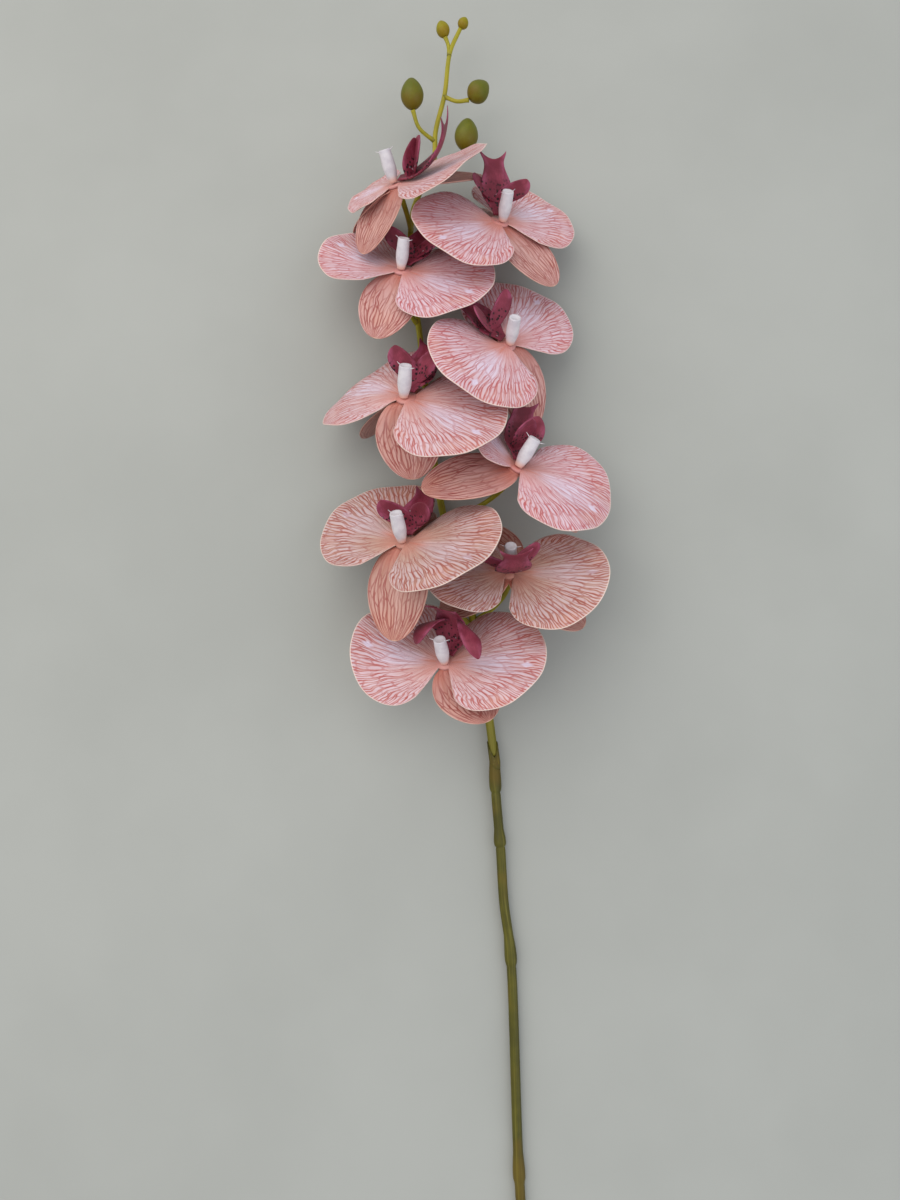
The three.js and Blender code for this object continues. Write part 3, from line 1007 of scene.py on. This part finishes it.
@dataclass
class Bloom:
    """One open bloom: where it is, how it faces, and how each of its sheets is bent.

    The last value of a sheet's pose, a share of its usual length, may be left out where it is 1.
    """

    number: int
    at: Triple
    face: Triple
    size: float
    plus: Pose
    minus: Pose
    sepals: Sequence[Pose]
    lip: LipPose
    lean: float
    leaves_spike: float
    tone: Tone

    def local(self) -> Matrix:
        """Matrix from the bloom's own millimetres to the builder's.

        Returns:
            The matrix.
        """
        yaw, tilt, roll = (radians(angle) for angle in self.face)
        turn = Matrix.Rotation(yaw, 4, "Y") @ Matrix.Rotation(-tilt, 4, "X") @ Matrix.Rotation(roll, 4, "Z")
        return Matrix.Translation(self.at) @ turn @ Matrix.Scale(self.size, 4)

    def dress(self, wardrobe: "Wardrobe") -> None:
        """Builds the four pieces of the bloom.

        Args:
            wardrobe: The finishes.
        """
        place = laid() @ self.local()
        wall = HUB_THICKNESS * self.size * MILLIMETRE
        for kind, slot, form, finishes, thickness in (
                ("petals", "petal", Petals(), wardrobe.petals[self.tone], wall),
                ("sepals", "sepal", Sepals(), wardrobe.sepals[self.tone], wall),
                ("lip", "lip", Lip(), wardrobe.lip, wall),
                ("column", "column", Column(), [wardrobe.column], 0.0)):
            node = f"bloom_{self.number}_{kind}"
            settle(form.mould(self).piece(f"{node}_fine", place, finishes, thickness), node)


@dataclass
class Bud:
    """One closed bud."""

    number: int
    at: Triple
    length: float
    width: float
    tip: Triple
    leaves_spike: float | None
    by: Sequence[Triple]
    steps: int = 18
    inside: float = 0.985
    groove: float = 0.03

    def dress(self, finish: Material, slot: str) -> None:
        """Builds the bud.

        Args:
            finish: Its material.
            slot: Not used.
        """
        outline = [(0.0, -0.5 * self.length)]
        for t in (i / self.steps for i in range(1, self.steps)):
            radius = self.width / 2 * max(0.0, sin(pi * t ** 0.9)) ** 0.62
            outline.append((radius * self.inside, self.length * (t - 0.5)))
        outline.append((0.0, 0.5 * self.length))
        mould = Mould()
        mould.turned(outline, 36, Matrix.Identity(4))
        for vert in mould.mesh.verts:
            turn = atan2(vert.co.y, vert.co.x)
            rise = smooth(vert.co.z, -0.3 * self.length, 0.3 * self.length)
            groove = 1 - self.groove * abs(sin(1.5 * turn)) ** 0.5 * rise
            vert.co.x *= groove
            vert.co.y *= groove
        aim = Vector((0, 0, 1)).rotation_difference(Vector(self.tip).normalized()).to_matrix().to_4x4()
        place = laid() @ Matrix.Translation(self.at) @ aim
        settle(mould.piece(f"bud_{self.number}_fine", place, [finish]), f"bud_{self.number}")


@dataclass
class Curve:
    """Smooth line through given points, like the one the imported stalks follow."""

    points: Sequence[Triple]

    def at(self, t: float) -> Vector:
        """Point of the line.

        Args:
            t: Place along the line from 0 to 1.

        Returns:
            The point.
        """
        knots = [Vector(p) for p in self.points]
        last = len(knots) - 1
        if last == 1:
            return knots[0].lerp(knots[1], t)
        place = min(max(t, 0.0), 1.0) * last
        i = min(int(place), last - 1)
        w = place - i
        b, c = knots[i], knots[i + 1]
        a = knots[i - 1] if i > 0 else b * 2 - c
        d = knots[i + 2] if i + 2 <= last else c * 2 - b
        t0, t1, t2 = (max(step.length ** 0.5, 1e-6) for step in (b - a, c - b, d - c))
        m1 = ((b - a) / t0 - (c - a) / (t0 + t1) + (c - b) / t1) * t1
        m2 = ((c - b) / t1 - (d - b) / (t1 + t2) + (d - c) / t2) * t1
        return (b * (2 * w ** 3 - 3 * w * w + 1) + m1 * (w ** 3 - 2 * w * w + w)
                + c * (-2 * w ** 3 + 3 * w * w) + m2 * (w ** 3 - w * w))

    def where_y(self, y: float) -> Vector:
        """Point of the line at a height.

        Args:
            y: Its Y, which grows along the line.

        Returns:
            The point.
        """
        low, high = 0.0, 1.0
        for _ in range(24):
            middle = (low + high) / 2
            if self.at(middle).y < y:
                low = middle
            else:
                high = middle
        return self.at(low)


@dataclass
class FlowerSpike:
    """Thin bent spike with the stalk of every bloom and bud that it carries."""

    line: Curve
    base_radius: float = 2.4
    tip_radius: float = 1.1
    pedicel_radius: float = 1.3
    bud_stalk_radius: float = 1.05
    straight: float = 14.0

    def width(self, t: float, _turn: float) -> float:
        """Radius of the spike at a place from 0 to 1."""
        return self.base_radius + (self.tip_radius - self.base_radius) * t ** 0.8

    @staticmethod
    def swollen(radius: float, head: float, power: int, foot: float, t: float, _turn: float) -> float:
        """Radius of a stalk that swells at its foot and, the more suddenly the higher the power, at its head."""
        return radius * (1 + head * t ** power + foot * (1 - t) ** 8)

    @staticmethod
    def arc(start: Vector, after: Vector, before: Vector, end: Vector, t: float) -> Vector:
        """Point at 0 to 1 of the arc that four points pull."""
        s = 1 - t
        return start * s ** 3 + after * (3 * s * s * t) + before * (3 * s * t * t) + end * t ** 3

    def pedicel(self, mould: Mould, bloom: Bloom) -> None:
        """Adds the stalk of a bloom.

        Args:
            mould: Mould of the spike.
            bloom: The bloom it carries.
        """
        local = bloom.local()
        end = local @ Vector((0, 0, BACK_Z))
        before = local @ Vector((0, 0, BACK_Z - self.straight))
        start = self.line.where_y(bloom.leaves_spike)
        after = start.lerp(before, 0.6)
        after.z = start.z + 1
        mould.tube(partial(self.arc, start, after, before, end),
                   partial(self.swollen, self.pedicel_radius, 0.35, 6, 0.35), 28, 12)

    def bud_stalk(self, mould: Mould, bud: Bud) -> None:
        """Adds the stalk of a bud.

        Args:
            mould: Mould of the spike.
            bud: The bud it carries.
        """
        end = Vector(bud.at) - Vector(bud.tip).normalized() * (bud.length / 2 + 0.3)
        line = Curve([self.line.where_y(bud.leaves_spike), *bud.by, end])
        mould.tube(line.at, partial(self.swollen, self.bud_stalk_radius, 0.25, 8, 0.3), 20, 12)

    def dress(self, blooms: Sequence[Bloom], buds: Sequence[Bud], finish: Material) -> None:
        """Builds the spike with all its stalks.

        Args:
            blooms: The blooms it carries.
            buds: The buds it carries.
            finish: Its material.
        """
        mould = Mould()
        mould.tube(self.line.at, self.width, 150, 16)
        for bloom in blooms:
            self.pedicel(mould, bloom)
        for bud in buds:
            if bud.leaves_spike is not None:
                self.bud_stalk(mould, bud)
        settle(mould.piece("flower_spike_fine", laid(), [finish]), "flower_spike")


@dataclass
class Stem:
    """Cut stem whose sheaths bulge above their joints, the last one notched around the foot of the spike."""

    line: Curve
    spike: Curve
    sheaths: Sequence[tuple[float, float]]
    radius: float = 2.5
    swell: float = 0.7
    crease: float = 0.16
    crease_width: float = 0.9
    ridge: float = 0.06
    rounding: float = 0.06
    rounding_share: float = 0.002
    notch: float = 8.0
    notch_half: float = 0.42
    collar_radius: float = 2.72
    collar_half_wall: float = 0.16
    collar_height: float = 6.5
    look_ahead: float = 8.0

    def width(self, t: float, turn: float) -> float:
        """Radius of the stem.

        Args:
            t: Place along the stem from 0 to 1.
            turn: Place round the stem from 0 to 1.

        Returns:
            The radius.
        """
        y = self.line.at(t).y
        shares = [min(1.0, max(0.0, (y - joint) / length)) for joint, length in self.sheaths]
        bulge = max(sin(pi * share ** 0.55) for share in shares)
        crease = sum(exp(-(((y - joint) / self.crease_width) ** 2)) for joint, _ in self.sheaths)
        ridge = self.ridge * (sin(2 * pi * 3 * turn + 9 * t) + sin(2 * pi * 7 * turn) / 2)
        cut = 1 - self.rounding * max(0.0, 1 - t / self.rounding_share)
        return (self.radius + self.swell * max(0.0, bulge) - self.crease * crease + ridge) * cut

    def collar(self, u: float, v: float) -> Vector:
        """Point of the notched edge of the last sheath.

        Args:
            u: 0 to 0.5 up the outside, on to 1 down the inside.
            v: -1 to 1 round the spike, 0 at the notch.

        Returns:
            The point.
        """
        end = self.line.at(1.0)
        ahead = (self.spike.where_y(end.y + self.look_ahead) - end).normalized()
        rise = 1 - abs(2 * u - 1)
        top = self.notch * min(1.0, abs(v) / self.notch_half) ** 1.2
        side = self.collar_half_wall if u < 0.5 else -self.collar_half_wall
        wall = side * (1 - (2 * rise - 1) ** 8) - 0.35 * smooth(rise, 0.3, 0.0)
        ring = Vector((sin(pi * v), 0, cos(pi * v))) * (self.collar_radius + wall)
        return end + ahead * (-self.collar_height + (self.collar_height + top) * rise) + ring

    def dress(self, finish: Material) -> None:
        """Builds the stem.

        Args:
            finish: Its material.
        """
        mould = Mould()
        mould.tube(self.line.at, self.width, 420, 28)
        mould.band(self.collar, (32, 48, 0.0))
        settle(mould.piece("stem_fine", laid(), [finish]), "stem")


def settle(piece: bpy.types.Object, node: str) -> None:
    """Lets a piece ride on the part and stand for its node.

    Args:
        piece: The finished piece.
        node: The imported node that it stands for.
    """
    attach(piece, "root")
    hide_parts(node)
    report.info("%s stands for %s, %d faces", piece.name, node, len(piece.data.polygons))


@dataclass(frozen=True)
class Dyes:
    """The colours that set one tone of petals or sepals apart."""

    pale: Colour
    deep: Colour
    vein: Colour
    blaze_share: float


PETAL_DYES = {
    Tone.ROSE: Dyes((216, 183, 189), (205, 149, 150), (180, 75, 79), 0.8),
    Tone.BLUSH: Dyes((214, 183, 183), (202, 147, 141), (176, 77, 73), 0.8),
    Tone.APRICOT: Dyes((196, 164, 150), (181, 133, 117), (156, 70, 60), 0.35),
}
SEPAL_DYES = {
    Tone.ROSE: Dyes((200, 152, 147), (180, 120, 108), (148, 64, 57), 0.25),
    Tone.BLUSH: Dyes((198, 150, 141), (178, 118, 103), (148, 64, 57), 0.25),
    Tone.APRICOT: Dyes((186, 141, 127), (167, 110, 94), (148, 64, 57), 0.25),
}


class Wardrobe:
    """Every finish of the stem, built once."""

    BACK_WASH = 0.35
    # Spike and stem colours: main, dark (also the painted shade in the rib grooves), the painted highlight on the rib
    # ridges, foot and tinge.
    SPIKE_DYES_AND_RIB_LIGHT = ((166, 156, 40), (122, 118, 34), (190, 180, 80), (92, 88, 24), (150, 134, 36))
    STEM_DYES_AND_RIB_LIGHT = ((88, 84, 22), (56, 54, 14), (122, 116, 48), (80, 74, 20), (112, 86, 22))

    def __init__(self) -> None:
        """Builds the finishes."""
        petal = {"heart": (208, 124, 102), "flush": (214, 148, 120), "rim": (236, 218, 204),
                 "blaze": (226, 216, 236), "cells": (20.0, 4.6), "middle": 0.56, "strength": 0.9}
        sepal = {"heart": (184, 96, 74), "flush": (196, 126, 98), "rim": (224, 184, 160),
                 "blaze": (222, 182, 172), "cells": (7.0, 4.4), "middle": 0.5, "strength": 1.0}
        self.petals = {tone: self.sheets(f"petal_{tone.value}", PETAL_DYES[tone], petal) for tone in Tone}
        self.sepals = {tone: self.sheets(f"sepal_{tone.value}", SEPAL_DYES[tone], sepal) for tone in Tone}
        self.lip = [LipPrint().material()] * 3
        self.column = ColumnPaint().material()
        self.spike = StalkPaint("spike_green", *self.SPIKE_DYES_AND_RIB_LIGHT, 1.6, 90.0).material()
        self.stem = StalkPaint("stem_green", *self.STEM_DYES_AND_RIB_LIGHT, 2.2, 60.0).material()
        self.bud = BudPaint("bud_olive", (93, 97, 20), (108, 90, 16), (113, 110, 25)).material()
        self.tip_bud = BudPaint("bud_ochre", (137, 129, 14), (133, 110, 12), (156, 142, 30)).material()

    def sheets(self, name: str, dyes: Dyes, common: dict[str, Any]) -> list[Material]:
        """Front, back and rim material of one print, the last two washed out.

        Args:
            name: Name of the front.
            dyes: The colours of its tone.
            common: The other values of the print.

        Returns:
            The three materials.
        """
        veined = VeinedPrint(name, **vars(dyes), **common)
        front = veined.material()
        back = replace(veined, name=f"{name}_back", wash=self.BACK_WASH).material()
        return [front, back, back]


@dataclass
class Studio:
    """Plain table, soft lights and the camera at the photograph's angle."""

    half_table: float = 3.0
    table_z: float = -0.0003
    aim: Triple = (0, 0.1, 0.03)
    sky: tuple[float, ...] = (0.92, 0.95, 1.0, 1.0)
    sky_strength: float = 0.66
    sensor: float = 36.0
    focal: float = 27.0
    eye: Triple = (0, -47.0, 447.5)
    tilt: float = 6.0

    def table(self) -> None:
        """Lays the pale table under the part."""
        mould = Mould()
        size, level = self.half_table, self.table_z
        mould.sheet(lambda u, v: Vector((size * (2 * u - 1), size * v, level)), (4, 4, 0.012))
        table = mould.piece("table", Matrix.Identity(4), [TablePaint().material()])

    def light(self, name: str, place: Triple, power: float, width: float, warm: Colour) -> None:
        """Hangs one soft light that looks at the blooms.

        Args:
            name: Name of the light.
            place: Where it hangs, in metres.
            power: Power in watts.
            width: Width of its face in metres.
            warm: Its colour.
        """
        lamp = bpy.data.lights.new(name, "AREA")
        lamp.energy = power
        lamp.size = width
        lamp.color = linear(warm)[:3]
        hung = hang(name, lamp)
        hung.location = place
        hung.rotation_euler = (Vector(self.aim) - Vector(place)).to_track_quat("-Z", "Y").to_euler()

    def world(self) -> None:
        """Gives the room an even pale light."""
        world = bpy.data.worlds.new("room")
        world.use_nodes = True
        background = world.node_tree.nodes["Background"]
        background.inputs[0].default_value = self.sky
        background.inputs[1].default_value = self.sky_strength
        bpy.context.scene.world = world
        bpy.context.scene.view_settings.view_transform = "Standard"

    def camera(self) -> None:
        """Sets the camera above the stem, as the photograph looks at it."""
        lens = bpy.data.cameras.new("view")
        lens.sensor_fit = "VERTICAL"
        lens.sensor_height = self.sensor
        lens.lens = self.focal
        lens.clip_start = 0.01
        seen = hang("view", lens)
        place = laid() @ Matrix.Translation(self.eye) @ Matrix.Rotation(radians(self.tilt), 4, "X")
        seen.location = place.to_translation()
        seen.rotation_euler = place.to_quaternion().to_euler()
        bpy.context.scene.camera = seen

    def set_up(self) -> None:
        """Sets up table, lights, room and camera."""
        self.table()
        self.light("key", (-0.7, 0.6, 1.3), 19.0, 2.0, (255, 248, 242))
        self.light("fill", (0.95, -0.35, 1.0), 5.5, 1.4, (240, 245, 255))
        self.world()
        self.camera()


def blooms() -> list[Bloom]:
    """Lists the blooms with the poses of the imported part.

    Returns:
        The nine blooms from the tip side down.
    """
    rose, blush, apricot = Tone.ROSE, Tone.BLUSH, Tone.APRICOT
    return [
        Bloom(1, (-28, 217, 5), (-28, 39, 180), 1.09, (0, -20, -3, 0.58), (-6, 20, 4),
              ((-29, -28, -4, 0.84), (-109, -28, -4), (127, -20, 0)),
              LipPose((-15, 72, 1.32), -84, (60, 26, 0), (72, -36, 0)), 14, 212, blush),
        Bloom(2, (26, 199, 0), (15, 33, 214), 1.05, (0, -5, -3), (-2, -2, -4),
              ((2, -14, 1), (-155, -32, 0, 0.88), (132, -20, 0)),
              LipPose((31, 16), -24, (35, 34, 10), (88, 42, 0)), 6, 176, rose),
        Bloom(3, (-24.5, 172.5, 0), (0, 38, 147), 1.05, (-4, 18, 3), (-3, 4, -8),
              ((14, -22, -4, 0.95), (-132, -16, 0), (132, -33, 0)),
              LipPose((8, 18), 5, (88, 40, 0), (48, 38, 10)), 14, 158, rose),
        Bloom(4, (29, 132, 1), (16, 30, 236), 1.06, (6, -12, -8), (9, -9, -2),
              ((-26, -38, -5, 0.98), (-166, -30, 0, 0.8), (120, -18, 0)),
              LipPose((10, 8), -5, (44, 22, 10), (68, 42, 0, 1.15)), 8, 112, rose),
        Bloom(5, (-22, 101, 9), (-3, 39, 144), 1.13, (1, -46, -10), (-4, -4, -3),
              ((43, -46, 4, 0.84), (-98, -52, 0), (132, -28, 0)),
              LipPose((8, 16), 15, (74, 30, 0), (60, 24, 10)), 12, 88, blush),
        Bloom(6, (34, 66, 7), (33, 40, 133), 1.1, (15, 10, 0, 0.6), (18, -34, -14),
              ((-44, -24, -6, 1.05), (-150, -22, 0), (110, -22, 0)),
              LipPose((20, 30), 34, (90, 4, 10), (62, 10, 10)), 14, 48, rose),
        Bloom(7, (-22, 28, 9), (-20, 42, 152), 1.11, (5, -1, -4), (9, -9, -2),
              ((21, -36, -9, 1.02), (-132, -16, 0), (150, -16, 0)),
              LipPose((2, 8), 20, (90, 36, 0), (80, 36, 40)), 8, -12, apricot),
        Bloom(8, (30, 14, 1), (-2, 40, -8), 1.06, (3, 9, 6), (6, 2, 0, 0.9),
              ((32, -4, 8), (109, -30, 0, 0.9), (-106, -28, 0)),
              LipPose((40, 42), 14, (108, 38, 20), (100, 52, 20)), 4, -8, apricot),
        Bloom(9, (-2, -31, 2), (-13, 40, 173), 1.07, (-5, 40, -8), (8, -10, -2),
              ((46, -14, 8, 0.84), (-132, -18, 0), (132, -18, 0)),
              LipPose((30, 110), -12, (34, 20, 140, 1.8), (34, 34, 130, 2.1)), 4, -46, blush),
    ]


def buds() -> list[Bud]:
    """Lists the buds.

    Returns:
        The five buds from the lowest to the tip.
    """
    return [
        Bud(1, (9, 258, -16), 18, 13.2, (0.1, 1, 0.1), 240, [(2, 243, -21)]),
        Bud(2, (-20.7, 279, -12), 17.5, 12.8, (-0.05, 1, 0.1), 257, [(-17, 262, -16)]),
        Bud(3, (15.6, 280.5, -12), 13.5, 12.2, (0.7, 0.6, 0.1), 281, [(4, 276, -14)]),
        Bud(4, (-4, 317, -12), 10, 7.5, (-0.3, 1, 0), 302, [(-1, 308, -12.5)]),
        Bud(5, (7.3, 320.6, -12), 7, 6, (0.5, 1, 0), None, []),
    ]


def main() -> None:
    """Builds the dressed stem piece by piece and sets up the studio."""
    wardrobe = Wardrobe()
    all_blooms = blooms()
    all_buds = buds()
    stem_line = Curve([(46, -462, -35), (41, -380, -35), (35, -290, -35), (31.3, -180, -34.6), (28, -154, -34.3),
                       (26.4, -128, -34), (24, -98, -33.5), (23.3, -79.5, -33)])
    spike_line = Curve([(23.2, -79, -33), (20.8, -60, -34), (15, -20, -35), (6, 20, -35), (-4, 52, -35),
                        (-11, 100, -35), (-16.5, 149, -35), (-22, 196, -34), (-20.5, 222, -30), (-9, 247, -23),
                        (-8, 262, -20), (-3, 282, -17), (0, 304, -13), (5.6, 317.2, -12)])
    sheaths = [(-98, 18.5), (-126, 9), (-186, 15), (-292, 15), (-384, 15)]
    Stem(stem_line, spike_line, sheaths).dress(wardrobe.stem)
    FlowerSpike(spike_line).dress(all_blooms, all_buds, wardrobe.spike)
    for bud in all_buds:
        small = bud.number > 3
        bud.dress(wardrobe.tip_bud if small else wardrobe.bud, "tip_bud" if small else "bud")
    for bloom in all_blooms:
        bloom.dress(wardrobe)
    Studio().set_up()
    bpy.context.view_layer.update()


if __name__ == "__main__":
    main()
